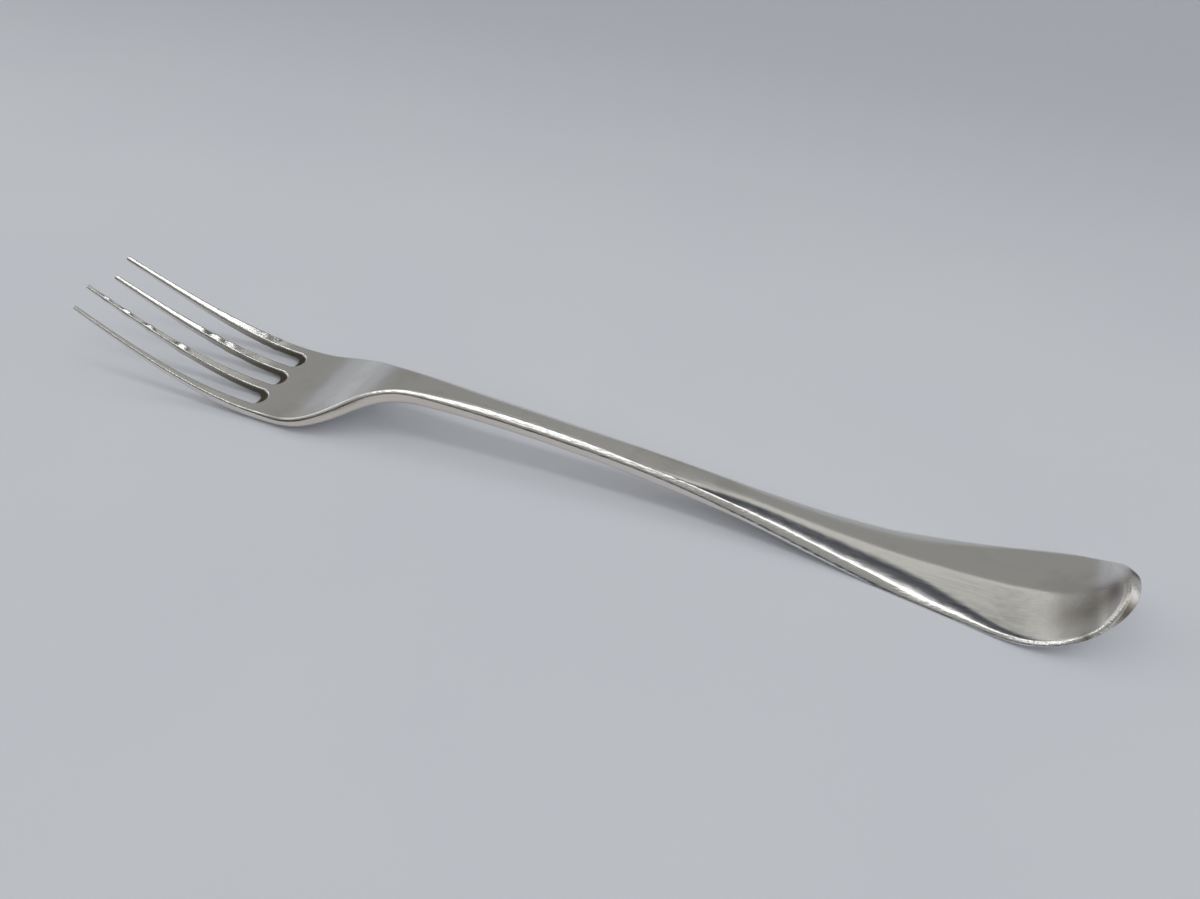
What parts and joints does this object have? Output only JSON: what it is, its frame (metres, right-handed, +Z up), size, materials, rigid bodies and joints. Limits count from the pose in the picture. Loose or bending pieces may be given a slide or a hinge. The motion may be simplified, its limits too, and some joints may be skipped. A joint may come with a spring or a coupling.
{
  "type": "table fork",
  "caption": "Silver table fork with slim tapering tines, a dished head, a waisted bevelled stem and a turned-up ridged handle end, for eating at table.",
  "frame": {"origin": "on the table, under the middle of the fork's length and width, with the fork lying face up", "axes": "+X along the fork from the tine tips towards the handle end, +Z up out of the table, +Y across the fork"},
  "size_m": [0.2064, 0.0228, 0.0166],
  "materials": {
    "silver": "worn polished silver with fine scratches and light tarnish"
  },
  "bodies": {
    "root": {"tine_1": "silver", "tine_2": "silver", "tine_3": "silver", "tine_4": "silver", "head": "silver", "neck": "silver", "stem": "silver", "handle": "silver"}
  },
  "joints": []
}
